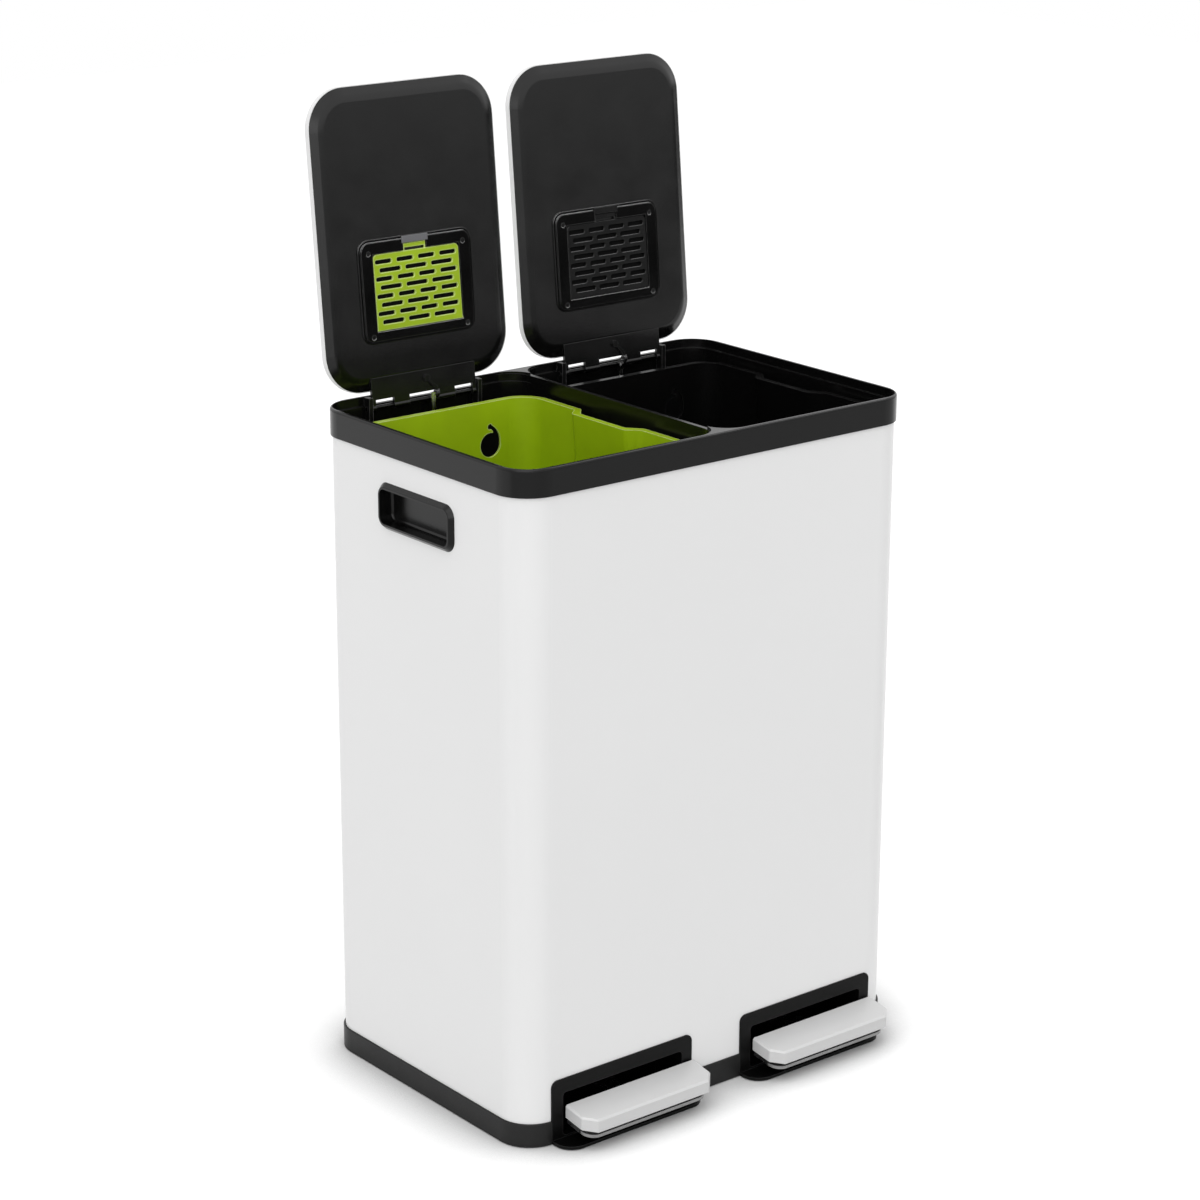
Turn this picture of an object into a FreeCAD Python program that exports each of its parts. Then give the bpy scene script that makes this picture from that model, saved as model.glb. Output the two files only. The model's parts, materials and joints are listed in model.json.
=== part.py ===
import FreeCAD, Part
import math
import os
import re

import Sketcher
from FreeCAD import Placement, Rotation, Vector

# Double recycling bin. Millimetres. X runs along the front, Y to the back, Z up.
# The origin is on the ground under the middle of the body.
# It stands as it does with both lids thrown open and both pedals down.

SIZES = {
    # steel shell
    "shell_width": 464.0,
    "shell_depth": 310.0,
    "shell_corner": 33.0,
    "shell_sheet": 0.8,
    # base tray
    "foot_stand": 1.0,
    "tray_floor": 3.0,
    "plinth_top": 24.0,
    "shell_play": 0.3,
    "foot_radius": 10.0,
    "foot_recess": 1.5,
    "foot_inset": 42.0,
    # top frame
    "rim_top": 650.0,
    "rim_band": 26.0,
    "rim_overhang": 2.0,
    "rim_edge_round": 2.4,
    "rim_land": 4.0,
    "shell_tuck": 8.5,
    "recess_corner": 27.0,
    "ledge_drop": 9.0,
    "ledge_width": 2.5,
    "ridge_drop": 2.0,
    "ridge_width": 4.0,
    "well_corner": 25.0,
    # hinges
    "hinge_inset": 8.0,
    "hinge_drop": 11.5,
    "pin_radius": 2.0,
    "knuckle_wall": 1.6,
    "shaft_play": 0.05,
    "notch_left": 56.0,
    "notch_right": 65.0,
    "bay_width": 133.0,
    "bay_wall": 3.8,
    "ear_sheet": 2.0,
    "ear_thick": 4.5,
    "ear_spread": 132.0,
    "ear_reach": 5.0,
    "ear_rise": 11.0,
    "bracket_low": 590.0,
    "bracket_high": 622.0,
    "rivet_radius": 2.0,
    "rivet_spread": 90.0,
    # lids
    "lid_pitch": 231.0,
    "lid_open": 95.41,
    "liner_width": 209.3,
    "liner_length": 283.8,
    "liner_corner": 38.3,
    "liner_set": 16.18,
    "liner_lift": 2.93,
    "liner_bevel": 10.0,
    "panel_drop": 5.0,
    "liner_wall": 2.0,
    "skin_play": 0.3,
    "skin_sheet": 0.7,
    "skin_side": 8.0,
    "skin_round": 4.5,
    # hinge tongue of a lid liner
    "tongue_width": 121.0,
    "tongue_end": 7.5,
    "tongue_drop": 6.0,
    "tongue_plate": 3.0,
    "arm_inner": 17.6,
    "arm_outer": 35.5,
    "end_arm": 3.9,
    "lug_reach": 6.5,
    "lug_round": 3.5,
    "lug_near": 11.0,
    "lug_plate": 3.0,
    "lug_hole": 1.6,
    "boss_x": 2.5,
    "boss_y": 20.6,
    "boss_radius": 3.2,
    "boss_proud": 2.4,
    "panel_round": 14.0,
    # filter box on a lid liner
    "filter_width": 131.0,
    "filter_length": 98.4,
    "filter_near": 59.7,
    "filter_proud": 3.0,
    "filter_corner": 12.0,
    "filter_step": 1.5,
    "filter_inset": 2.8,
    "filter_edge": 0.7,
    "door_width": 99.0,
    "door_length": 72.2,
    "door_near": 71.6,
    "door_corner": 5.0,
    "door_plate": 2.0,
    "door_sunk": 0.4,
    "door_play": 0.5,
    "door_pivot_up": 1.0,
    "door_stub": 0.8,
    "door_stub_out": 2.0,
    "tab_width": 25.6,
    "tab_aside": -1.3,
    "tab_strip": 1.4,
    "tab_length": 7.0,
    "slot_short": 18.8,
    "slot_short_pitch": 24.8,
    "slot_long": 24.4,
    "slot_long_pitch": 29.8,
    "slot_high": 4.0,
    "slot_round": 1.7,
    "slot_shift": -0.6,
    "slot_edge": 0.5,
    "tab_slit": 2.6,
    "row_first": 7.9,
    "row_pitch": 8.13,
    "clip_width": 29.8,
    "clip_length": 6.4,
    "clip_plate": 1.2,
    "clip_far": 157.6,
    "screw_spread": 109.0,
    "screw_near": 66.8,
    "screw_rise": 78.5,
    "screw_head": 2.3,
    "screw_shank": 1.3,
    "screw_long": 5.0,
    "pad_thick": 5.0,
    "pad_play": 0.4,
    # side handles
    "handle_width": 115.5,
    "handle_height": 44.5,
    "handle_corner": 12.5,
    "handle_level": 576.0,
    "handle_rim": 2.5,
    "bezel_width": 5.0,
    "bezel_proud": 4.5,
    "cup_depth": 15.0,
    "cup_wall": 1.6,
    # pedal housings
    "housing_width": 169.5,
    "housing_top": 63.5,
    "housing_corner": 7.0,
    "mouth_width": 144.0,
    "mouth_top": 49.5,
    "mouth_corner": 4.0,
    "housing_wall": 2.0,
    "housing_depth": 37.0,
    "lip_reach": 24.0,
    "lip_thick": 3.0,
    "lip_corner": 18.0,
    # pedals
    "pedal_slope": 0.15,
    "cap_width": 156.0,
    "cap_aside": 7.25,
    "cap_depth": 35.0,
    "cap_thick": 12.7,
    "cap_back_gap": 2.3,
    "cap_top": 37.6,
    "cap_corner": 11.0,
    "cap_round": 3.5,
    "cap_bevel": 1.6,
    "spacer_thick": 3.0,
    "spacer_inset": 9.0,
    "plate_thick": 3.0,
    "plate_margin": 1.5,
    "plate_short": 9.0,
    "plate_corner": 13.0,
    "lever_pivot_y": -27.0,
    "lever_pivot_z": 20.0,
    "lever_width": 24.0,
    "lever_boss": 7.5,
    "axle_radius": 3.0,
    "bracket_gap": 0.6,
    "bracket_sheet": 2.0,
    "bracket_foot": 12.0,
    "bracket_length": 30.0,
    # push rods, guides and dampers
    "rod_aside": 8.0,
    "rod_radius": 2.0,
    "rod_head": 4.6,
    "rod_head_rise": 1.5,
    "rod_head_length": 16.0,
    "rod_end_gap": 0.4,
    "guide_width": 14.0,
    "guide_high": 12.0,
    "guide_low_level": 300.0,
    "guide_top_level": 560.0,
    "damper_aside": -14.0,
    "damper_radius": 7.0,
    "damper_base": 80.0,
    "damper_long": 60.0,
    "damper_bore": 45.0,
    "crosshead_thick": 4.0,
    "crosshead_play": 0.5,
    # inner floor and buckets
    "deck_level": 56.0,
    "deck_sheet": 1.5,
    "deck_inset": 2.0,
    "deck_leg": 2.0,
    "deck_leg_length": 210.0,
    "deck_back": 134.0,
    "bucket_width": 214.0,
    "bucket_length": 272.0,
    "bucket_middle": -12.0,
    "bucket_top": 633.0,
    "bucket_rim": 4.0,
    "bucket_rim_high": 5.0,
    "bucket_wall": 2.0,
    "bucket_corner": 29.0,
    "bucket_taper": 11.0,
    "bucket_stand": 0.3,
    "grip_depth": 12.5,
    "grip_long": 100.0,
    "grip_short": 66.0,
    "grip_middle": -5.0,
    "grip_foot": 505.0,
    "grip_round": 7.0,
    "tuck_radius": 12.0,
    "tuck_x": 55.7,
    "tuck_level": 590.5,
    "tuck_rise": 17.8,
    "tuck_eye": 2.9,
}

# Sizes and places that follow from the driving ones.
FOLLOWS = {
    "tray_top": "foot_stand + tray_floor",
    "rim_width": "shell_width + 2 * rim_overhang",
    "rim_depth": "shell_depth + 2 * rim_overhang",
    "rim_corner": "shell_corner + rim_overhang",
    "rim_low": "rim_top - rim_band",
    "shell_top": "rim_low + shell_tuck",
    "ledge_level": "rim_top - ledge_drop",
    "ridge_level": "rim_top - ridge_drop",
    "recess_side": "rim_width / 2 - rim_land",
    "recess_back": "rim_depth / 2 - rim_land",
    "well_side": "recess_side - ledge_width",
    "well_back": "recess_back - ledge_width",
    "hinge_y": "rim_depth / 2 - hinge_inset",
    "hinge_z": "rim_top - hinge_drop",
    "knuckle_radius": "pin_radius + shaft_play + knuckle_wall",
    "front_face": "shell_depth / 2",
    "back_inside": "shell_depth / 2 - shell_sheet",
    "panel_z": "liner_lift - panel_drop",
    "tongue_z": "liner_lift - tongue_drop",
    "lid_middle": "liner_set + liner_length / 2",
    "skin_margin": "skin_play + skin_sheet",
    "door_face": "panel_z - filter_proud + door_sunk",
    "door_far": "door_near + door_length",
    "lug_y": "lug_reach * cos(lid_open / 2)",
    "lug_z": "lug_reach * sin(lid_open / 2)",
    "rod_y": "hinge_y - lug_y",
    "rod_travel": "2 * lug_z",
    "rod_top": "hinge_z + lug_z",
    "cap_back": "-rim_depth / 2 - cap_back_gap",
    "cap_front": "cap_back - cap_depth",
    "lever_back_top": "lever_pivot_z + 9",
    "deck_top": "deck_level + deck_sheet",
    "bucket_low": "deck_top + bucket_stand",
}

document = FreeCAD.newDocument("DoubleRecyclingBin")
sheet = document.addObject("Spreadsheet::Sheet", "Sizes")
for row, (word, value) in enumerate(SIZES.items(), start=1):
    sheet.set(f"A{row}", word)
    sheet.set(f"B{row}", str(value))
    sheet.setAlias(f"B{row}", word)
document.recompute()


def expand(text):
    """Writes a formula in plain words as an expression that reads the sheet's cells."""
    def word_of(found):
        word = found.group(0)
        if word in FOLLOWS:
            return "(" + expand(FOLLOWS[word]) + ")"
        return "Sizes." + word if word in SIZES else word
    return re.sub(r"[a-z][a-z_]*", word_of, str(text))


def size(text):
    """The value of a formula in plain words."""
    return float(sheet.evalExpression(expand(text)))


def bind(item, property_name, text):
    item.setExpression(property_name, expand(text))


# ---------------------------------------------------------------- sketches and features

def new_body(label, x="0", y="0", z="0"):
    body = document.addObject("PartDesign::Body", label)
    body.Label = label
    for axis, text in zip("xyz", (x, y, z)):
        bind(body, f"Placement.Base.{axis}", text)
    return body


def origin_plane(body, plane):
    return next(item for item in body.Origin.OriginFeatures if item.Role == plane + "_Plane")


def sketch_on(body, name, plane, level):
    """A sketch on the body's own XY, XZ or YZ plane, shifted to a level along the third axis."""
    sketch = body.newObject("Sketcher::SketchObject", name)
    sketch.AttachmentSupport = (origin_plane(body, plane), "")
    sketch.MapMode = "FlatFace"
    sign = "-1" if plane == "XZ" else "1"
    bind(sketch, "AttachmentOffset.Base.z", f"{sign} * ({level})")
    return sketch


def hold(sketch, kind, geometry, point, text):
    place = sketch.addConstraint(
        Sketcher.Constraint(kind, -1, 1, geometry, point, size(text)))
    bind(sketch, f"Constraints[{place}]", text)


def locate(sketch, geometry, point, x, y):
    """Holds one point of the sketch at x, y from the sketch's origin."""
    hold(sketch, "DistanceX", geometry, point, x)
    hold(sketch, "DistanceY", geometry, point, y)


def polygon(*corners):
    def draw(sketch):
        points = [Vector(size(x), size(y), 0) for x, y in corners]
        lines = [sketch.addGeometry(Part.LineSegment(a, b))
                 for a, b in zip(points, points[1:] + points[:1])]
        for line, following in zip(lines, lines[1:] + lines[:1]):
            sketch.addConstraint(Sketcher.Constraint("Coincident", line, 2, following, 1))
        for line, (x, y) in zip(lines, corners):
            locate(sketch, line, 1, x, y)
    return draw


def rectangle(x_low, y_low, x_high, y_high):
    return polygon((x_low, y_low), (x_high, y_low), (x_high, y_high), (x_low, y_high))


def circle(x, y, radius):
    def draw(sketch):
        ring = sketch.addGeometry(
            Part.Circle(Vector(size(x), size(y), 0), Vector(0, 0, 1), size(radius)))
        locate(sketch, ring, 3, x, y)
        place = sketch.addConstraint(Sketcher.Constraint("Radius", ring, size(radius)))
        bind(sketch, f"Constraints[{place}]", radius)
    return draw


def rounded(x, y, width, height, radius):
    """A rectangle about x, y with four equal round corners."""
    def draw(sketch):
        cx, cy, r = size(x), size(y), size(radius)
        dx, dy = size(width) / 2 - r, size(height) / 2 - r
        middles = [Vector(cx + sx * dx, cy + sy * dy, 0)
                   for sx, sy in ((1, -1), (1, 1), (-1, 1), (-1, -1))]
        arcs = []
        for turn, middle in enumerate(middles):
            start = math.radians(90 * turn - 90)
            ring = Part.Circle(middle, Vector(0, 0, 1), r)
            arcs.append(sketch.addGeometry(
                Part.ArcOfCircle(ring, start, start + math.pi / 2)))
        lines = []
        for turn, middle in enumerate(middles):
            following = middles[(turn + 1) % 4]
            out = Vector(math.cos(math.radians(90 * turn)), math.sin(math.radians(90 * turn)), 0) * r
            lines.append(sketch.addGeometry(Part.LineSegment(middle + out, following + out)))
        for turn in range(4):
            following = (turn + 1) % 4
            sketch.addConstraint(Sketcher.Constraint("Tangent", arcs[turn], 2, lines[turn], 1))
            sketch.addConstraint(
                Sketcher.Constraint("Tangent", lines[turn], 2, arcs[following], 1))
            upright = "Vertical" if turn % 2 == 0 else "Horizontal"
            sketch.addConstraint(Sketcher.Constraint(upright, lines[turn]))
        for turn in range(3):
            sketch.addConstraint(Sketcher.Constraint("Equal", arcs[turn], arcs[turn + 1]))
        place = sketch.addConstraint(Sketcher.Constraint("Radius", arcs[0], r))
        bind(sketch, f"Constraints[{place}]", radius)
        half_x, half_y = f"(({width}) / 2 - ({radius}))", f"(({height}) / 2 - ({radius}))"
        locate(sketch, arcs[3], 3, f"{x} - {half_x}", f"{y} - {half_y}")
        locate(sketch, arcs[1], 3, f"{x} + {half_x}", f"{y} + {half_y}")
    return draw


def extrude(body, name, plane, start, length, loops, cut=False):
    """Pads or pockets closed loops from a start level, towards the plane's third axis."""
    before = body.Shape.Volume if cut else 0.0
    sketch = sketch_on(body, name + "Sketch", plane, start)
    for draw in loops:
        draw(sketch)
    feature = body.newObject("PartDesign::Pocket" if cut else "PartDesign::Pad", name)
    feature.Profile = sketch
    bind(feature, "Length", length)
    feature.Reversed = (plane == "XZ") != cut
    feature.Refine = not cut
    sketch.Visibility = False
    document.recompute()
    if cut and not body.Shape.Volume < before - 1e-6:
        raise ValueError(f"{body.Label}: {name} cuts nothing")
    return feature


def add(body, name, plane, start, length, *loops):
    return extrude(body, name, plane, start, length, loops)


def cut(body, name, plane, start, length, *loops):
    return extrude(body, name, plane, start, length, loops, cut=True)


def edge_names(shape, wanted):
    return [f"Edge{number}" for number, edge in enumerate(shape.Edges, start=1) if wanted(edge)]


def level_edges(level):
    """Picks the edges that lie flat at a level of Z."""
    def wanted(edge):
        box = edge.BoundBox
        return abs(box.ZMin - level) < 1e-4 and abs(box.ZMax - level) < 1e-4
    return wanted


def soften(body, kind, name, wanted, amount, second=None):
    """A fillet or a chamfer on the edges of the body's tip that the test picks."""
    tip = body.Tip
    names = edge_names(tip.Shape, wanted)
    if not names:
        raise ValueError(f"{body.Label}: {name} finds no edge")
    feature = body.newObject("PartDesign::" + kind, name)
    feature.Base = (tip, names)
    if kind == "Fillet":
        bind(feature, "Radius", amount)
    else:
        bind(feature, "Size", amount)
        if second:
            feature.ChamferType = "Two distances"
            bind(feature, "Size2", second)
            feature.FlipDirection = True
    document.recompute()
    if "Invalid" in feature.State:
        raise ValueError(f"{body.Label}: {name} does not fit")
    return feature


# ---------------------------------------------------------------- casing

def outer_shell():
    body = new_body("outer_shell")
    tall = "shell_top - tray_top"
    add(body, "Wall", "XY", "tray_top", tall,
        rounded("0", "0", "shell_width", "shell_depth", "shell_corner"))
    cut(body, "Inside", "XY", "tray_top - 1", tall + " + 2",
        rounded("0", "0", "shell_width - 2 * shell_sheet", "shell_depth - 2 * shell_sheet",
                "shell_corner - shell_sheet"))
    cut(body, "HandleHoles", "YZ", "-shell_width / 2 - 1", "shell_width + 2",
        rounded("0", "handle_level", "handle_width - 2 * handle_rim + 2 * shell_play",
                "handle_height - 2 * handle_rim + 2 * shell_play",
                "handle_corner - handle_rim + shell_play"))
    half = "(mouth_width / 2 + housing_wall + shell_play)"
    high = "mouth_top + housing_wall + shell_play"
    cut(body, "PedalHoles", "XZ", "-front_face - 1", "shell_sheet + 2",
        *[rectangle(f"{side} * lid_pitch / 2 - {half}", "tray_top - 1",
                    f"{side} * lid_pitch / 2 + {half}", high) for side in (-1, 1)])
    cut(body, "RivetHoles", "XZ", "back_inside - 1", "shell_sheet + 2",
        *[circle(x, "(bracket_low + bracket_high) / 2", "rivet_radius + shaft_play")
          for x in rivet_places()])
    return body


def rivet_places():
    return [f"{side} * lid_pitch / 2 + {end} * rivet_spread / 2"
            for side in (-1, 1) for end in (-1, 1)]


def base_tray():
    body = new_body("base_tray")
    add(body, "Block", "XY", "foot_stand", "plinth_top - foot_stand",
        rounded("0", "0", "rim_width", "rim_depth", "rim_corner"))
    top = size("plinth_top")
    soften(body, "Fillet", "TopRound", level_edges(top), "rim_overhang / 2")
    cut(body, "Inside", "XY", "tray_top", "plinth_top",
        rounded("0", "0", "shell_width + 2 * shell_play", "shell_depth + 2 * shell_play",
                "shell_corner + shell_play"))
    half = "(housing_width / 2 + shell_play)"
    cut(body, "HousingNotches", "XY", "foot_stand - 1", "plinth_top + 2",
        *[rectangle(f"{side} * lid_pitch / 2 - {half}", "-rim_depth / 2 - 1",
                    f"{side} * lid_pitch / 2 + {half}", "-front_face + shell_play / 3")
          for side in (-1, 1)])
    cut(body, "FootRecesses", "XY", "foot_stand - 1", "1 + foot_recess",
        *[circle(x, y, "foot_radius + shell_play") for x, y in foot_places()])
    return body


def foot_places():
    return [(f"{sx} * (shell_width / 2 - foot_inset)", f"{sy} * (shell_depth / 2 - foot_inset)")
            for sx in (-1, 1) for sy in (-1, 1)]


def feet():
    """Four rubber pads let into the tray, as one group of separate solids."""
    pads = []
    for x, y in foot_places():
        pad = document.addObject("Part::Cylinder", "FootPad")
        bind(pad, "Radius", "foot_radius")
        bind(pad, "Height", "foot_stand + foot_recess")
        bind(pad, "Placement.Base.x", x)
        bind(pad, "Placement.Base.y", y)
        pads.append(pad)
    return gather("feet", pads)


def gather(label, items):
    """Several separate solids under one name."""
    group = document.addObject("Part::Compound", label)
    group.Label = label
    group.Links = items
    document.recompute()
    return group


def top_frame():
    body = new_body("top_frame")
    add(body, "Block", "XY", "rim_low", "rim_band",
        rounded("0", "0", "rim_width", "rim_depth", "rim_corner"))
    soften(body, "Fillet", "OuterRound", level_edges(size("rim_top")), "rim_edge_round")

    def pair(inner, outer, back, corner):
        """One round-cornered well on each side of the middle."""
        return [rounded(f"{side} * (({outer}) + ({inner})) / 2", "0",
                        f"({outer}) - ({inner})", f"2 * ({back})", corner) for side in (-1, 1)]

    for side, name in ((-1, "Left"), (1, "Right")):
        cut(body, name + "Recess", "XY", "ridge_level", "ridge_drop + 1",
            pair("-0.5", "recess_side", "recess_back", "recess_corner")[(side + 1) // 2])
    cut(body, "Ledges", "XY", "ledge_level", "ledge_drop",
        *pair("ridge_width / 2", "recess_side", "recess_back", "recess_corner - 1"))
    cut(body, "Wells", "XY", "rim_low - 1", "rim_band",
        *pair("ridge_width / 2", "well_side", "well_back", "well_corner"))
    shell_groove(body)
    for side, name in ((-1, "Left"), (1, "Right")):
        middle = f"{side} * lid_pitch / 2"
        cut(body, name + "Bay", "XY", "rim_low - 1", "rim_band + 2",
            rectangle(f"{middle} - bay_width / 2", "well_back - 1",
                      f"{middle} + bay_width / 2", "rim_depth / 2 - bay_wall"))
        cut(body, name + "Notch", "XZ", "recess_back - 1", "rim_land + 2",
            rectangle(f"{middle} - notch_left", "ledge_level",
                      f"{middle} + notch_right", "rim_top + 1"))
    return body


def shell_groove(body):
    """Cuts the groove that sits on the shell's top edge, a little wider than the sheet."""
    outer = rounded("0", "0", "shell_width + 2 * shell_play", "shell_depth + 2 * shell_play",
                    "shell_corner + shell_play")
    inner_play = "2 * (shell_sheet + shell_play)"
    inner = rounded("0", "0", f"shell_width - {inner_play}", f"shell_depth - {inner_play}",
                    "shell_corner - shell_sheet - shell_play")
    return cut(body, "ShellGroove", "XY", "rim_low - 1", "1 + shell_tuck", outer, inner)


def side_handle(side):
    """A grip cup with a raised bezel, modelled for the right wall and turned for the left."""
    body = new_body("side_handle_" + side)
    wall = "shell_width / 2"
    reach = "(cup_depth - bezel_proud + cup_wall)"
    add(body, "Cup", "YZ", f"{wall} - {reach}", f"{reach}",
        rounded("0", "handle_level", "handle_width - 2 * handle_rim",
                "handle_height - 2 * handle_rim", "handle_corner - handle_rim"))
    foot = sketch_on(body, "BezelFoot", "YZ", wall)
    rounded("0", "handle_level", "handle_width", "handle_height", "handle_corner")(foot)
    crest = sketch_on(body, "BezelCrest", "YZ", f"{wall} + bezel_proud")
    inset = "2 * (bezel_width - 1.2)"
    rounded("0", "handle_level", f"handle_width - {inset}", f"handle_height - {inset}",
            "handle_corner - bezel_width + 1.2")(crest)
    bezel = body.newObject("PartDesign::AdditiveLoft", "Bezel")
    bezel.Profile = foot
    bezel.Sections = [crest]
    bezel.Ruled = True
    document.recompute()
    crest_level = size(f"{wall} + bezel_proud")
    soften(body, "Fillet", "CrestRound",
           lambda edge: abs(edge.BoundBox.XMin - crest_level) < 1e-4, "1.2")
    cut(body, "Pocket", "YZ", f"{wall} + bezel_proud - cup_depth", "cup_depth + 1",
        rounded("0", "handle_level", "handle_width - 2 * bezel_width - 1.6",
                "handle_height - 2 * bezel_width - 1.6", "handle_corner - bezel_width - 0.8"))
    back_level = size(f"{wall} + bezel_proud - cup_depth")
    soften(body, "Fillet", "PocketRound",
           lambda edge: abs(edge.BoundBox.XMax - back_level) < 1e-4
           and abs(edge.BoundBox.XMin - back_level) < 1e-4, "3")
    if side == "left":
        body.Placement = Placement(Vector(0, 0, 0), Rotation(Vector(0, 0, 1), 180))
    return body


def pedal_housing(side):
    body = new_body("pedal_housing_" + side, x=f"{SIGN[side]} * lid_pitch / 2")
    add(body, "Flange", "XZ", "-rim_depth / 2", "rim_overhang",
        rounded("0", "(foot_stand + housing_top) / 2", "housing_width",
                "housing_top - foot_stand", "housing_corner"))
    soften(body, "Fillet", "FlangeRound",
           lambda edge: edge.BoundBox.YMax < size("-rim_depth / 2") + 1e-4, "0.8")
    add(body, "Lip", "XY", "foot_stand", "lip_thick",
        rounded("0", "-rim_depth / 2 - lip_reach + 21", "housing_width", "42", "lip_corner"))
    cut(body, "LipBack", "XY", "foot_stand - 1", "lip_thick + 1",
        rectangle("-housing_width", "-front_face", "housing_width", "0"))
    add(body, "Box", "XZ", "-front_face - 1", "housing_depth + 1",
        rounded("0", "(tray_top + mouth_top + housing_wall) / 2", "mouth_width + 2 * housing_wall",
                "mouth_top + housing_wall - tray_top", "mouth_corner + 1"))
    cut(body, "Mouth", "XZ", "-rim_depth / 2 - 1", "housing_depth + rim_overhang + 2",
        rounded("0", "(tray_top + housing_wall + mouth_top) / 2", "mouth_width",
                "mouth_top - tray_top - housing_wall", "mouth_corner"))
    return body


def bucket_deck():
    """The inner floor: a plate on three legs that carries both buckets over the levers."""
    body = new_body("bucket_deck")
    inset = "2 * (shell_sheet + deck_inset)"
    add(body, "Plate", "XY", "deck_level", "deck_sheet",
        rounded("0", "0", f"shell_width - {inset}", f"shell_depth - {inset}",
                "shell_corner - shell_sheet - deck_inset"))
    cut(body, "BackGap", "XY", "deck_level - 1", "deck_sheet + 2",
        rectangle("-shell_width", "deck_back", "shell_width", "shell_depth"))
    legs = ["-shell_width / 2 + shell_sheet + deck_inset + 4", "-deck_leg / 2",
            "shell_width / 2 - shell_sheet - deck_inset - 4 - deck_leg"]
    add(body, "Legs", "XY", "tray_top", "deck_level - tray_top",
        *[rectangle(low, "-deck_leg_length / 2", f"({low}) + deck_leg", "deck_leg_length / 2")
          for low in legs])
    return body


# ---------------------------------------------------------------- buckets

def bucket_outline(inset, level):
    """The plan of a bucket's wall: a round-cornered rectangle, drawn in by an inset."""
    half_x = size("bucket_width") / 2 - inset
    half_y = size("bucket_length") / 2 - inset
    radius = size("bucket_corner") - min(inset, size("bucket_corner") - 12)
    plan = Part.makePlane(2 * half_x, 2 * half_y, Vector(-half_x, -half_y, level))
    prism = plan.extrude(Vector(0, 0, 1))
    upright = [edge for edge in prism.Edges if edge.BoundBox.ZLength > 0.5]
    prism = prism.makeFillet(radius, upright)
    faces = [face for face in prism.Faces if abs(face.BoundBox.ZMax - level) < 1e-4]
    return faces[0].OuterWire


def grip_block(side, grow):
    """What a side grip takes out of a bucket: a wedge that is deepest at the rim."""
    wall = size("bucket_width") / 2
    middle = size("grip_middle") - size("bucket_middle")
    wires = []
    for level, depth in ((size("bucket_top") + 5, size("grip_depth")),
                         (size("grip_foot") - 2 * grow, -size("bucket_taper") / 4)):
        long = size("grip_long") / 2 + grow
        short = size("grip_short") / 2 + grow
        inner = side * (wall - depth - grow)
        outer = side * (wall + 10)
        points = [Vector(outer, middle - long - 8, level), Vector(inner, middle - short, level),
                  Vector(inner, middle + short, level), Vector(outer, middle + long + 8, level)]
        points = points[::side]
        wires.append(Part.makePolygon(points + points[:1]))
    return Part.makeLoft(wires, True, True)


def bucket_form(inset, low, grow):
    """A tapered, round-cornered block with both side grips taken out of it."""
    top = size("bucket_top")
    form = Part.makeLoft([bucket_outline(inset + size("bucket_taper"), low),
                          bucket_outline(inset, top)], True, True)
    for side in (-1, 1):
        form = form.cut(grip_block(side, grow))
    corners = [edge for edge in form.Edges if is_grip_corner(edge, top)]
    return form.makeFillet(size("grip_round"), corners)


def is_grip_corner(edge, top):
    """The long upright edges of the side grips, which reach the bucket's top."""
    box = edge.BoundBox
    middle = size("grip_middle") - size("bucket_middle")
    near = abs(box.Center.y - middle) < size("grip_long") / 2 + 12
    return near and box.ZLength > 60 and box.ZMax > top - 1


def tuck_hole():
    """The hole that a bag's corner is tucked into: round, with a curved horn up to a small eye."""
    deep = 4 * size("bucket_taper")
    x, level, radius = size("tuck_x"), size("tuck_level"), size("tuck_radius")
    y = size("bucket_length") / 2 - size("bucket_taper") * 1.5 - deep / 2
    rise = size("tuck_rise")
    through = Vector(0, 1, 0)

    def at(across, up):
        return Vector(x + across * radius, y, level + up * rise)

    hole = Part.makeCylinder(radius, deep, at(0, 0), through)
    eye = Part.makeCylinder(size("tuck_eye"), deep, at(0, 1), through)
    outer = Part.Arc(at(0.99, 0.08), at(0.83, 0.62), at(0.16, 1.07)).toShape()
    inner = [at(0.16, 1.07), at(0.02, 0.93), at(0.3, 0.7), at(0, 0.4), at(0.99, 0.08)]
    lines = [Part.makeLine(start, end) for start, end in zip(inner, inner[1:])]
    horn = Part.Face(Part.Wire([outer] + lines)).extrude(through * deep)
    return hole.fuse([eye, horn]).removeSplitter()


def bucket(side):
    low, top = size("bucket_low"), size("bucket_top")
    rim, wall = size("bucket_rim"), size("bucket_wall")
    high = size("bucket_rim_high")
    outer = bucket_form(rim, low, rim)
    inner = bucket_form(rim + wall, low + wall, rim + wall)
    lip = bucket_form(0, low, 0)
    box = Part.makeBox(1000, 1000, high, Vector(-500, -500, top - high))
    lip = lip.common(box)
    shape = outer.fuse(lip).cut(inner).cut(tuck_hole()).removeSplitter()
    item = document.addObject("Part::Feature", "bucket_" + side)
    item.Label = "bucket_" + side
    item.Shape = shape
    item.Placement = Placement(
        Vector(SIGN[side] * size("lid_pitch") / 2, size("bucket_middle"), 0), Rotation())
    return item


# ---------------------------------------------------------------- hinges

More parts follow.
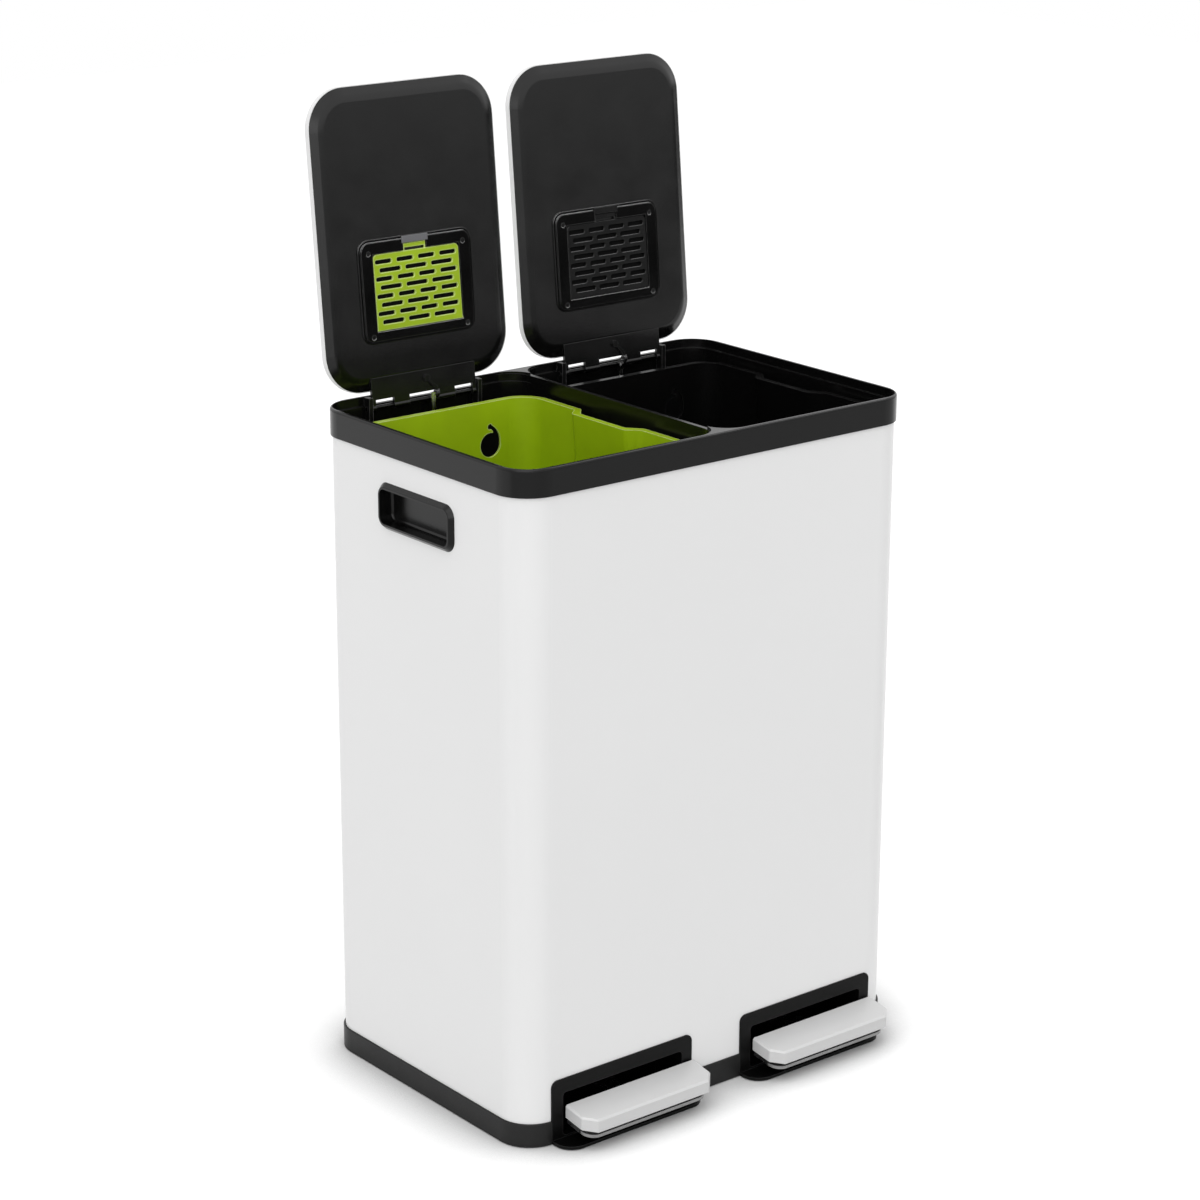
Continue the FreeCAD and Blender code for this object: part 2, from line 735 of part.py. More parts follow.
def hinge_bracket(side):
    """A folded steel bracket riveted to the back wall, with an ear at each end of the pin."""
    body = new_body("hinge_bracket_" + side, x=f"{SIGN[side]} * lid_pitch / 2")
    add(body, "Plate", "XZ", "back_inside - ear_sheet", "ear_sheet",
        rectangle("-ear_spread / 2", "bracket_low", "ear_spread / 2", "bracket_high"))
    ears = polygon(("hinge_y - ear_reach", "bracket_low"), ("back_inside - ear_sheet / 2", "bracket_low"),
                   ("back_inside - ear_sheet / 2", "bracket_high"),
                   ("rim_depth / 2 - bay_wall - shell_play", "bracket_high"),
                   ("rim_depth / 2 - bay_wall - shell_play", "hinge_z + ear_rise"),
                   ("hinge_y - ear_reach", "hinge_z + ear_rise"))
    add(body, "LeftEar", "YZ", "-ear_spread / 2", "ear_thick", ears)
    add(body, "RightEar", "YZ", "ear_spread / 2 - ear_thick", "ear_thick", ears)
    cut(body, "PinHole", "YZ", "-ear_spread", "2 * ear_spread",
        circle("hinge_y", "hinge_z", "pin_radius + shaft_play"))
    cut(body, "RivetHoles", "XZ", "back_inside - ear_sheet - 1", "ear_sheet + 2",
        *[circle(f"{end} * rivet_spread / 2", "(bracket_low + bracket_high) / 2",
                 "rivet_radius + shaft_play") for end in (-1, 1)])
    return body


def hinge_pin(side):
    pin = document.addObject("Part::Cylinder", "hinge_pin_" + side)
    pin.Label = "hinge_pin_" + side
    bind(pin, "Radius", "pin_radius")
    bind(pin, "Height", "ear_spread + 2 * shell_play")
    pin.Placement = Placement(Vector(), Rotation(Vector(0, 1, 0), 90))
    bind(pin, "Placement.Base.x", f"{SIGN[side]} * lid_pitch / 2 - ear_spread / 2 - shell_play")
    bind(pin, "Placement.Base.y", "hinge_y")
    bind(pin, "Placement.Base.z", "hinge_z")
    return pin


def rivets():
    """Rivets of both hinge brackets, each with a low head on either side of the back wall."""
    items = []
    for x in rivet_places():
        body = document.addObject("PartDesign::Body", "Rivet")
        level = "(bracket_low + bracket_high) / 2"
        bind(body, "Placement.Base.x", x)
        bind(body, "Placement.Base.z", level)
        add(body, "Shank", "XZ", "back_inside - ear_sheet - 1", "ear_sheet + shell_sheet + 2",
            circle("0", "0", "rivet_radius"))
        add(body, "InnerHead", "XZ", "back_inside - ear_sheet - 1.5", "1.5",
            circle("0", "0", "2 * rivet_radius"))
        add(body, "OuterHead", "XZ", "front_face", "1.2", circle("0", "0", "2 * rivet_radius"))
        items.append(body)
    return gather("rivets", items)


# ---------------------------------------------------------------- lids
# A lid is drawn shut, about its own hinge axis, and then thrown open by its Placement.

def throw_open(item, side):
    item.Placement = Placement(Vector(), Rotation(Vector(-1, 0, 0), size("lid_open")))
    bind(item, "Placement.Base.x", f"{SIGN[side]} * lid_pitch / 2")
    bind(item, "Placement.Base.y", "hinge_y")
    bind(item, "Placement.Base.z", "hinge_z")
    bind(item, "Placement.Rotation.Angle", "lid_open")
    document.recompute()
    return item


def lid_outline(margin, corner="liner_corner"):
    return rounded("0", "-lid_middle", f"liner_width + 2 * ({margin})",
                   f"liner_length + 2 * ({margin})", f"{corner} + ({margin})")


def lid_skin(side):
    """The painted steel skin: a flat pan with a rounded edge, open underneath."""
    body = new_body("lid_skin_" + side)
    add(body, "Pan", "XY", "liner_lift", "skin_side + skin_sheet", lid_outline("skin_margin"))
    top = size("liner_lift + skin_side + skin_sheet")
    soften(body, "Fillet", "EdgeRound", level_edges(top), "skin_round")
    cut(body, "Hollow", "XY", "liner_lift - 1", "skin_side + 1 - skin_round",
        lid_outline("skin_play"))
    cut(body, "Crown", "XY", "liner_lift", "skin_side",
        lid_outline("skin_play - skin_round / 2"))
    return throw_open(body, side)


def lid_liner(side):
    """The moulded liner: a bevelled tray with the filter well and the hinge tongue."""
    body = new_body("lid_liner_" + side)
    rise = "(skin_side - skin_round)"
    add(body, "Block", "XY", "panel_z", f"panel_drop + {rise}", lid_outline("0"))
    soften(body, "Chamfer", "Bevel", level_edges(size("panel_z")), "liner_bevel", "panel_drop")
    soften(body, "Fillet", "PanelRound", level_edges(size("panel_z")), "panel_round")
    cut(body, "HollowRim", "XY", "liner_lift", "skin_side", lid_outline("-liner_wall"))
    cut(body, "HollowPanel", "XY", "panel_z + liner_wall", "skin_side + panel_drop",
        lid_outline("-liner_bevel - liner_wall / 2"))
    # the well that holds the charcoal pad behind the grille
    well_y = "-(door_near + door_length / 2)"
    roof = "(door_face + door_plate + pad_play + pad_thick)"
    add(body, "FilterWell", "XY", "panel_z + liner_wall / 2", f"{roof} + 1.5 - panel_z - liner_wall / 2",
        rectangle("-door_width / 2 - 2", "-door_far - 2", "door_width / 2 + 2", "-door_near + 2"))
    cut(body, "FilterHollow", "XY", "panel_z - 1", f"{roof} - panel_z + 1",
        rounded("0", well_y, "door_width - 2", "door_length - 2", "1"))
    # hinge tongue with its knuckles
    add(body, "Tongue", "XY", "tongue_z", "tongue_plate",
        rectangle("-tongue_width / 2", "-liner_set - liner_bevel - 2", "tongue_width / 2", "-tongue_end"))
    arms = [("EndArmLeft", "-tongue_width / 2", "end_arm"),
            ("ArmLeft", "-arm_outer", "arm_outer - arm_inner"),
            ("ArmRight", "arm_inner", "arm_outer - arm_inner"),
            ("EndArmRight", "tongue_width / 2 - end_arm", "end_arm")]
    for name, start, wide in arms:
        add(body, name, "YZ", start, wide,
            rectangle("-tongue_end - 1", "tongue_z", "0", "tongue_z + tongue_plate"))
        add(body, name + "Knuckle", "YZ", start, wide, circle("0", "0", "knuckle_radius"))
    # the lug that the push rod lifts, beside the right arm
    add(body, "LugSleeve", "YZ", "lug_near", "arm_inner - lug_near + 1",
        circle("0", "0", "knuckle_radius"))
    add(body, "LugWeb", "YZ", "lug_near", "lug_plate",
        polygon(("-lug_y - 2.2", "-lug_z + 2.2"), ("-lug_y + 2.2", "-lug_z - 2.2"), ("2.2", "-2.2"),
                ("-2.2", "2.2")))
    add(body, "Lug", "YZ", "lug_near", "lug_plate", circle("-lug_y", "-lug_z", "lug_round"))
    # a small boss and the rib that runs down from it to the lug
    add(body, "Boss", "XY", "tongue_z - boss_proud", "boss_proud",
        circle("boss_x", "-boss_y", "boss_radius"))
    add(body, "Rib", "XY", "tongue_z - boss_proud + 0.4", "boss_proud - 0.4",
        polygon(("boss_x - 1.5", "-boss_y - 1.5"), ("boss_x + 2", "-boss_y + 1.5"),
                ("lug_near + 3", "-tongue_end - 3.5"), ("lug_near + 3", "-tongue_end - 0.5"),
                ("lug_near + 0.5", "-tongue_end - 0.5")))
    cut(body, "LugHole", "YZ", "lug_near - 1", "lug_plate + 2", circle("-lug_y", "-lug_z", "lug_hole"))
    cut(body, "PinHole", "YZ", "-tongue_width", "2 * tongue_width",
        circle("0", "0", "pin_radius + shaft_play"))
    cut(body, "ScrewHoles", "XY", "panel_z - 1", "liner_wall + 2",
        *[circle(x, y, "screw_shank + shaft_play") for x, y in screw_places()])
    return throw_open(body, side)


def screw_places():
    return [(f"{end} * screw_spread / 2", f"-screw_near - {far} * screw_rise")
            for end in (-1, 1) for far in (0, 1)]


def filter_frame(side):
    """The bevelled frame that is screwed on the liner round the grille."""
    body = new_body("filter_frame_" + side)
    middle = "-(filter_near + filter_length / 2)"
    add(body, "Flange", "XY", "panel_z - filter_step", "filter_step",
        rounded("0", middle, "filter_width", "filter_length", "filter_corner"))
    soften(body, "Fillet", "FlangeRound", level_edges(size("panel_z - filter_step")),
           "filter_edge")
    inset = "2 * filter_inset"
    add(body, "Plate", "XY", "panel_z - filter_proud", "filter_proud",
        rounded("0", middle, f"filter_width - {inset}", f"filter_length - {inset}",
                "filter_corner - filter_inset"))
    soften(body, "Fillet", "PlateRound", level_edges(size("panel_z - filter_proud")),
           "filter_edge")
    cut(body, "Window", "XY", "panel_z - filter_proud - 1", "filter_proud + 2",
        rectangle("-door_width / 2 - door_play", "-door_far - door_play",
                  "door_width / 2 + door_play", "-door_near + door_play"))
    cut(body, "TabGap", "XY", "panel_z - filter_proud - 1", "filter_proud + 2",
        rectangle("tab_aside - tab_width / 2 - door_play", "-door_far - tab_length - door_play",
                  "tab_aside + tab_width / 2 + door_play", "-door_far"))
    cut(body, "ScrewHoles", "XY", "panel_z - filter_proud - 1", "filter_proud + 2",
        *[circle(x, y, "screw_shank + shaft_play") for x, y in screw_places()])
    cut(body, "HeadSinks", "XY", "panel_z - filter_proud - 1", "2.4",
        *[circle(x, y, "screw_head + shaft_play") for x, y in screw_places()])
    cut(body, "StubHoles", "YZ", "-door_width / 2 - door_stub_out - 0.5",
        "door_width + 2 * door_stub_out + 1",
        circle("-door_near - door_pivot_up", "door_face + door_plate / 2", "door_stub + shaft_play"))
    return throw_open(body, side)


def filter_door(side):
    """The grille: eight rows of slots, four short ones and three long ones in turn."""
    body = new_body("filter_door_" + side)
    add(body, "Plate", "XY", "door_face", "door_plate",
        rectangle("-door_width / 2", "-door_far", "door_width / 2", "-door_near"))
    far = size("-door_far")
    soften(body, "Fillet", "TopCorners",
           lambda edge: edge.BoundBox.ZLength > 0.5 and edge.BoundBox.YMax < far + 1e-4,
           "door_corner")
    add(body, "Tab", "XY", "door_face", "door_plate",
        rectangle("tab_aside - tab_width / 2", "-door_far - tab_length",
                  "tab_aside + tab_width / 2", "-door_far + 1"))
    cut(body, "TabSlit", "XY", "door_face - 1", "door_plate + 2",
        rectangle("tab_aside - tab_width / 2 + tab_strip", "-door_far - tab_slit",
                  "tab_aside + tab_width / 2 - tab_strip", "-door_far"))
    rows = (("ShortSlots", 4, "slot_short", "slot_short_pitch", "row_first + row_pitch"),
            ("LongSlots", 3, "slot_long", "slot_long_pitch", "row_first"))
    for name, count, wide, pitch, first in rows:
        places = [f"slot_shift + {place - (count - 1) / 2} * {pitch}" for place in range(count)]
        loops = [rounded(place, f"-door_near - ({first})", wide, "slot_high", "slot_round")
                 for place in places]
        slots = cut(body, name, "XY", "door_face - 1", "door_plate + 2", *loops)
        rows_of_slots = body.newObject("PartDesign::LinearPattern", name + "Rows")
        rows_of_slots.Originals = [slots]
        rows_of_slots.Direction = (slots.Profile[0], ["V_Axis"])
        rows_of_slots.Reversed = True
        bind(rows_of_slots, "Length", "6 * row_pitch")
        rows_of_slots.Occurrences = 4
        body.Tip = rows_of_slots
        document.recompute()
    soften(body, "Chamfer", "FaceEdges", level_edges(size("door_face")), "slot_edge")
    add(body, "Stubs", "YZ", "-door_width / 2 - door_stub_out", "door_width + 2 * door_stub_out",
        circle("-door_near - door_pivot_up", "door_face + door_plate / 2", "door_stub"))
    return throw_open(body, side)


def filter_clip(side):
    """The spring clip that holds the grille's tab."""
    body = new_body("filter_clip_" + side)
    face = "panel_z - filter_proud - shell_play / 3"
    add(body, "Plate", "XY", f"{face} - clip_plate", "clip_plate",
        rectangle("tab_aside - clip_width / 2", "-clip_far",
                  "tab_aside + clip_width / 2", "-clip_far + clip_length"))
    low = size(f"{face} - clip_plate")
    soften(body, "Fillet", "Round", level_edges(low), "0.5")
    return throw_open(body, side)


def filter_pad(side):
    """The charcoal pad that lies behind the grille."""
    pad = document.addObject("Part::Box", "filter_pad_" + side)
    pad.Label = "filter_pad_" + side
    bind(pad, "Length", "door_width - 2 - 2 * pad_play")
    bind(pad, "Width", "door_length - 2 - 2 * pad_play")
    bind(pad, "Height", "pad_thick")
    # its low corner is carried to the open lid by hand, because a box starts at its corner
    corner = Vector(-size("door_width / 2 - 1 - pad_play"), -size("door_far - 1 - pad_play"),
                    size("door_face + door_plate + pad_play"))
    turn = Rotation(Vector(-1, 0, 0), size("lid_open"))
    hinge = Vector(SIGN[side] * size("lid_pitch / 2"), size("hinge_y"), size("hinge_z"))
    pad.Placement = Placement(hinge + turn.multVec(corner), turn)
    return pad


def filter_screws(side):
    items = []
    for x, y in screw_places():
        body = document.addObject("PartDesign::Body", "FilterScrew")
        face = "panel_z - filter_proud"
        add(body, "Head", "XY", f"{face} + 0.2", "1.2", circle(x, y, "screw_head"))
        add(body, "Shank", "XY", f"{face} + 1", "screw_long - 1", circle(x, y, "screw_shank"))
        items.append(throw_open(body, side))
    return gather("filter_screws_" + side, items)


# ---------------------------------------------------------------- pedals and push rods

def pedal_cap(side):
    """The painted cap, which slopes down to the front and has round front corners."""
    body = new_body("pedal_cap_" + side, x=f"{SIGN[side]} * lid_pitch / 2 + cap_aside")
    fall = "pedal_slope * cap_depth"
    add(body, "Cap", "YZ", "-cap_width / 2", "cap_width",
        polygon(("cap_back", "cap_top - cap_thick"), ("cap_back", "cap_top"),
                ("cap_front", f"cap_top - {fall}"), ("cap_front", f"cap_top - {fall} - cap_thick")))
    front = size("cap_front")
    soften(body, "Chamfer", "FrontCorners",
           lambda edge: edge.BoundBox.YMax < front + 1e-4 and edge.BoundBox.ZLength > 5,
           "cap_corner")
    soften(body, "Fillet", "CornerRound",
           lambda edge: edge.BoundBox.YLength < 1e-4 and edge.BoundBox.XLength < 1e-4
           and edge.BoundBox.YMax < size("cap_back") - 1, "cap_round")
    slope = size("pedal_slope")
    top, back = size("cap_top"), size("cap_back")

    def on_top(edge):
        flat = all(abs(end.Z - top - slope * (end.Y - back)) < 1e-3 for end in edge.Vertexes)
        return flat and edge.BoundBox.YMin < back - 1

    soften(body, "Chamfer", "TopBevel", on_top, "cap_bevel")
    return body


def pedal_lever(side):
    """A steel lever with a wide plate under the cap, bored for its axle."""
    body = new_body("pedal_lever_" + side, x=f"{SIGN[side]} * lid_pitch / 2")
    low = "cap_top - cap_thick"
    half = "cap_width / 2"
    layers = (("Spacer", "spacer_inset", "spacer_inset", "0", "spacer_thick"),
              ("Plate", "plate_margin", "plate_short", "spacer_thick", "plate_thick"))
    for name, margin, short, drop, thick in layers:
        fall = f"pedal_slope * (cap_depth - {margin})"
        add(body, name, "YZ", f"cap_aside - {half} + {margin}",
            f"cap_width - {margin} - {short}",
            polygon(("cap_back", f"{low} - {drop} - {thick}"), ("cap_back", f"{low} - {drop}"),
                    (f"cap_front + {margin}", f"{low} - {fall} - {drop}"),
                    (f"cap_front + {margin}", f"{low} - {fall} - {drop} - {thick}")))
    front = size("cap_front + plate_margin")
    soften(body, "Fillet", "FrontCorners",
           lambda edge: edge.BoundBox.YMax < front + 1e-4 and edge.BoundBox.ZLength > 2,
           "plate_corner")
    left = "rod_aside - lever_width / 2"
    y, z = "lever_pivot_y", "lever_pivot_z"
    add(body, "Arm", "YZ", left, "lever_width",
        polygon(("cap_back - 3", f"{low} - spacer_thick - plate_thick"), ("cap_back - 3", f"{low} - 1"),
                ("cap_back + 8", f"{z} + 4"), (y, f"{z} + 5"), ("rod_y + 7", "lever_back_top"),
                ("rod_y + 7", "lever_back_top - 4"), (y, f"{z} - 5"), ("cap_back + 8", f"{z} - 4")))
    add(body, "Boss", "YZ", left, "lever_width", circle(y, z, "lever_boss"))
    cut(body, "AxleHole", "YZ", f"{left} - 1", "lever_width + 2",
        circle(y, z, "axle_radius + shaft_play"))
    return body


def lever_bracket(side):
    body = new_body("lever_bracket_" + side, x=f"{SIGN[side]} * lid_pitch / 2 + rod_aside")
    inner = "(lever_width / 2 + bracket_gap)"
    wide = f"({inner} + bracket_sheet + bracket_foot)"
    add(body, "Base", "XY", "tray_top", "bracket_sheet",
        rectangle(f"-{wide}", "lever_pivot_y - bracket_length / 2",
                  wide, "lever_pivot_y + bracket_length / 2"))
    y, z = "lever_pivot_y", "lever_pivot_z"
    ear = polygon((f"{y} - bracket_length / 2", "tray_top"), (f"{y} + bracket_length / 2", "tray_top"),
                  (f"{y} + 7", f"{z} + 7"), (f"{y} - 7", f"{z} + 7"))
    add(body, "LeftEar", "YZ", f"-{inner} - bracket_sheet", "bracket_sheet", ear)
    add(body, "RightEar", "YZ", inner, "bracket_sheet", ear)
    cut(body, "AxleHole", "YZ", f"-{wide}", f"2 * {wide}", circle(y, z, "axle_radius + shaft_play"))
    return body


def lever_axle(side):
    axle = document.addObject("Part::Cylinder", "lever_axle_" + side)
    axle.Label = "lever_axle_" + side
    long = "lever_width + 2 * (bracket_gap + bracket_sheet + 2)"
    bind(axle, "Radius", "axle_radius")
    bind(axle, "Height", long)
    axle.Placement = Placement(Vector(), Rotation(Vector(0, 1, 0), 90))
    bind(axle, "Placement.Base.x", f"{SIGN[side]} * lid_pitch / 2 + rod_aside - ({long}) / 2")
    bind(axle, "Placement.Base.y", "lever_pivot_y")
    bind(axle, "Placement.Base.z", "lever_pivot_z")
    return axle


def push_rod(side):
    """A steel rod with a flattened head and a short hook that lifts the lid's lug."""
    body = new_body("push_rod_" + side, x=f"{SIGN[side]} * lid_pitch / 2 + rod_aside", y="rod_y")
    low = "lever_back_top + rod_end_gap"
    add(body, "Rod", "XY", low, f"rod_top - ({low})", circle("0", "0", "rod_radius"))
    add(body, "Head", "XY", "rod_top + rod_head_rise - rod_head_length", "rod_head_length",
        rectangle("-rod_head / 2", "-1.5", "rod_head / 2", "1.5"))
    add(body, "Hook", "YZ", "0", "lug_near - rod_aside - shell_play",
        circle("0", "rod_top", "lug_hole - 0.2"))
    return body


def rod_guides(side):
    """Two moulded guides on the back wall."""
    items = []
    for level in ("guide_low_level", "guide_top_level"):
        body = document.addObject("PartDesign::Body", "RodGuide")
        bind(body, "Placement.Base.x", f"{SIGN[side]} * lid_pitch / 2 + rod_aside")
        add(body, "Block", "XY", level, "guide_high",
            rectangle("-guide_width / 2", "rod_y - 5", "guide_width / 2", "back_inside"))
        cut(body, "Bore", "XY", f"{level} - 1", "guide_high + 2",
            circle("0", "rod_y", "rod_radius + shaft_play"))
        items.append(body)
    return gather("rod_guides_" + side, items)


def damper(side):
    """The soft-closing damper's cylinder, clamped to the back wall."""
    body = new_body("damper_" + side, x=f"{SIGN[side]} * lid_pitch / 2 + damper_aside")
    add(body, "Cylinder", "XY", "damper_base", "damper_long", circle("0", "rod_y", "damper_radius"))
    add(body, "Saddle", "XY", "damper_base + 15", "12",
        rectangle("-damper_radius", "rod_y", "damper_radius", "back_inside"))
    cut(body, "Bore", "XY", "damper_base + damper_long - damper_bore", "damper_bore + 1",
        circle("0", "rod_y", "rod_radius + shaft_play"))
    return body


def damper_piston(side):
    """The damper's piston rod and the crosshead that ties it to the push rod."""
    body = new_body("damper_piston_" + side, x=f"{SIGN[side]} * lid_pitch / 2 + damper_aside", y="rod_y")
    low = "damper_base + damper_long + rod_travel + crosshead_play"
    add(body, "Crosshead", "XY", low, "crosshead_thick",
        rectangle("-4", "-4", "rod_aside - damper_aside + 5", "4"))
    cut(body, "RodHole", "XY", f"{low} - 1", "crosshead_thick + 2",
        circle("rod_aside - damper_aside", "0", "rod_radius"))
    piston_low = "damper_base + damper_long - damper_bore / 2"
    add(body, "Piston", "XY", piston_low, f"{low} + 1 - ({piston_low})",
        circle("0", "0", "rod_radius"))
    return body


def repeat(left, label):
    """The right-hand twin of a left-hand part: the same part, one lid pitch further along."""
    right = gather(label, [left])
    bind(right, "Placement.Base.x", "lid_pitch")
    return right


SIGN = {"left": -1, "right": 1}
TWINS = (pedal_housing, bucket, hinge_bracket, hinge_pin, lid_skin, lid_liner, filter_frame,
         filter_door, filter_clip, filter_pad, filter_screws, pedal_cap, pedal_lever,
         lever_bracket, lever_axle, push_rod, rod_guides, damper, damper_piston)

pieces = [outer_shell(), base_tray(), feet(), top_frame(), bucket_deck(), rivets()]
handle = side_handle("left")
across = gather("side_handle_right", [handle])
across.Placement = Placement(Vector(), Rotation(Vector(0, 0, 1), 180))
pieces += [handle, across]
for make in TWINS:
    part = make("left")
    pieces += [part, repeat(part, part.Label.replace("left", "right"))]
document.recompute()

for item in document.Objects:
    if "Invalid" in item.State or "Error" in item.State:
        raise ValueError(f"{item.Label} did not build: {item.State}")
for piece in pieces:
    shape = piece.Shape
    if shape.isNull() or not shape.isValid() or not shape.Solids:
        raise ValueError(f"{piece.Label} is not a valid solid")

os.makedirs("parts", exist_ok=True)
for piece in pieces:
    piece.Shape.exportStep(f"parts/{piece.Label}.step")
    print(piece.Label, len(piece.Shape.Solids), round(piece.Shape.Volume))
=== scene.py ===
import json
import math

import bpy
from mathutils import Matrix, Vector

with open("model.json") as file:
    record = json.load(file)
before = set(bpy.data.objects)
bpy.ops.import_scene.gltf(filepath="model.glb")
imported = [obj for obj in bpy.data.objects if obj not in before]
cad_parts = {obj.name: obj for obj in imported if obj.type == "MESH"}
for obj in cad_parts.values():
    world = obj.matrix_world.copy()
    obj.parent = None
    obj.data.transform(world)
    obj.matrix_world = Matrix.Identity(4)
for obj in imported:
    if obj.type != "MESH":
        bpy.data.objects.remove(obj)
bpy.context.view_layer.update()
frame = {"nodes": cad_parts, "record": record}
nodes = frame["nodes"]


# ------------------------------------------------------------------ node trees

class Graph:
    """Adds nodes to a tree. A value is a number, a tuple or the output of another node."""

    def __init__(self, tree):
        self.tree = tree

    def add(self, kind, **values):
        node = self.tree.nodes.new(kind)
        for word, value in values.items():
            setattr(node, word, value)
        return node

    def fill(self, socket, value):
        if isinstance(value, bpy.types.NodeSocket):
            self.tree.links.new(value, socket)
        else:
            socket.default_value = value

    def math(self, operation, first, second):
        node = self.add("ShaderNodeMath", operation=operation)
        self.fill(node.inputs[0], first)
        self.fill(node.inputs[1], second)
        return node.outputs[0]

    def vector(self, operation, first, second, result="Vector"):
        node = self.add("ShaderNodeVectorMath", operation=operation)
        self.fill(node.inputs[0], first)
        self.fill(node.inputs[1], second)
        return node.outputs[result]

    def ramp(self, value, start, end, low, high, kind="SMOOTHSTEP"):
        """Low before start, high after end, and a slope from one to the other."""
        node = self.add("ShaderNodeMapRange", interpolation_type=kind)
        for socket, given in zip(node.inputs, (value, start, end, low, high)):
            self.fill(socket, given)
        return node.outputs["Result"]

    def coordinates(self, kind):
        return self.add("ShaderNodeTexCoord").outputs[kind]

    def axes(self, vector):
        parts = self.add("ShaderNodeSeparateXYZ")
        self.fill(parts.inputs[0], vector)
        return parts.outputs

    def rays(self, *kinds):
        """1 for rays of the named kinds and 0 for the rest."""
        path = self.add("ShaderNodeLightPath")
        total = path.outputs[kinds[0]]
        for kind in kinds[1:]:
            total = self.math("MAXIMUM", total, path.outputs[kind])
        return total


# ------------------------------------------------------------------ materials

COAT_ROUGH = 0.12
NOISE_LOW, NOISE_HIGH = 0.3, 0.7        # most of a noise's values lie between these
EDGE, FLAT = 0.86, 0.985                # rounded normal · face normal, at an edge and off it
UP_LOW, UP_HIGH = 0.1, 0.5              # Z of the normal where the painted highlight of an upper edge starts and is full
LOWER_EDGE = 0.12                       # what is left of the painted highlight on the other edges
MIX_FIRST, MIX_SECOND, MIX_COLOR = 6, 7, 2     # the colour sockets of a Mix node


def grey(level):
    return (level, level, level)


class Look(Graph):
    """A material whose nodes are added one after another."""

    def __init__(self, name, color, rough, metallic=0.0, specular=0.5, coat=0.0):
        self.material = bpy.data.materials.new(name)
        self.material.use_nodes = True
        self.material.diffuse_color = (*color, 1)
        super().__init__(self.material.node_tree)
        self.shader = self.tree.nodes["Principled BSDF"].inputs
        self.fill(self.shader["Base Color"], (*color, 1))
        self.fill(self.shader["Roughness"], rough)
        self.fill(self.shader["Metallic"], metallic)
        self.fill(self.shader["Specular IOR Level"], specular)
        self.fill(self.shader["Coat Weight"], coat)
        self.fill(self.shader["Coat Roughness"], COAT_ROUGH)
        self.color, self.rough = color, rough

    def noise(self, scale, detail, stretch=(1, 1, 1)):
        """Noise of a number of lumps in a metre, in the object's own coordinates."""
        mapping = self.add("ShaderNodeMapping")
        self.fill(mapping.inputs["Scale"], stretch)
        self.fill(mapping.inputs["Vector"], self.coordinates("Object"))
        node = self.add("ShaderNodeTexNoise")
        self.fill(node.inputs["Scale"], scale)
        self.fill(node.inputs["Detail"], detail)
        self.fill(node.inputs["Vector"], mapping.outputs["Vector"])
        return node.outputs["Fac"]

    def bump(self, noise, depth):
        """Relief of a depth in metres."""
        node = self.add("ShaderNodeBump")
        self.fill(node.inputs["Strength"], 1.0)
        self.fill(node.inputs["Distance"], depth)
        self.fill(node.inputs["Height"], noise)
        self.fill(self.shader["Normal"], node.outputs["Normal"])

    def vary_rough(self, noise, amount):
        self.fill(self.shader["Roughness"], self.ramp(
            noise, NOISE_LOW, NOISE_HIGH, self.rough - amount, self.rough + amount, "LINEAR"))

    def blend(self, factor, first, second):
        """A colour between two: each is a tuple, or the output of a node."""
        mix = self.add("ShaderNodeMix", data_type="RGBA")
        self.fill(mix.inputs[0], factor)
        for place, color in ((MIX_FIRST, first), (MIX_SECOND, second)):
            self.fill(mix.inputs[place], (*color, 1) if isinstance(color, tuple) else color)
        return mix.outputs[MIX_COLOR]

    def set_paint(self, color):
        self.paint = color
        self.fill(self.shader["Base Color"], color)

    def vary_color(self, noise, amount):
        """Lightens and darkens the base colour a little."""
        low = tuple(part * (1 - amount) for part in self.color)
        high = tuple(min(1.0, part * (1 + amount)) for part in self.color)
        factor = self.ramp(noise, NOISE_LOW, NOISE_HIGH, 0, 1, "LINEAR")
        self.set_paint(self.blend(factor, low, high))

    def paint_edge_highlight(self, tint, amount, radius=0.0006, upper=False):
        """Another colour along the edges, a painted highlight, where a rounded normal leaves the
        face's own.

        With upper, most of the painted highlight goes to the edges that face up while the lids
        stand open.
        """
        rounded = self.add("ShaderNodeBevel", samples=4)
        self.fill(rounded.inputs["Radius"], radius)
        rounded = rounded.outputs["Normal"]
        face = self.add("ShaderNodeNewGeometry").outputs["Normal"]
        same = self.vector("DOT_PRODUCT", rounded, face, "Value")
        edge = self.ramp(same, EDGE, FLAT, amount, 0, "LINEAR")
        if upper:
            turned = self.add("ShaderNodeVectorTransform", vector_type="NORMAL",
                              convert_from="WORLD", convert_to="OBJECT")
            self.fill(turned.inputs["Vector"], rounded)
            rise = self.axes(turned.outputs["Vector"])["Z"]
            edge = self.math("MULTIPLY", edge,
                             self.ramp(rise, UP_LOW, UP_HIGH, LOWER_EDGE, 1, "LINEAR"))
        self.set_paint(self.blend(edge, self.paint, tint))


WHITE = grey(0.79)
HIGHLIGHT_LIGHTER, HIGHLIGHT_LIGHTEST = 1.15, 0.9     # how much lighter the painted highlight makes enamel edges, and how light at most
# the colour of the shell's inside face, made near black
INSIDE_BLACK = grey(0.012)
INWARD = -0.02          # place · normal, in metres, below which a face looks inward


def painted(name, color=WHITE, rough=0.34, coat=0.2, specular=0.5, relief=0.00003):
    """Sprayed enamel: a faint peel, cloudy gloss, and a painted highlight that makes the edges a
    little lighter.
    """
    look = Look(name, color, rough, coat=coat, specular=specular)
    look.bump(look.noise(scale=420, detail=2), depth=relief)
    look.vary_rough(look.noise(scale=14, detail=4), amount=0.04)
    look.vary_color(look.noise(scale=5, detail=3), amount=0.006)
    look.paint_edge_highlight(tuple(min(HIGHLIGHT_LIGHTEST, HIGHLIGHT_LIGHTER * part) for part in color), amount=0.8)
    return look


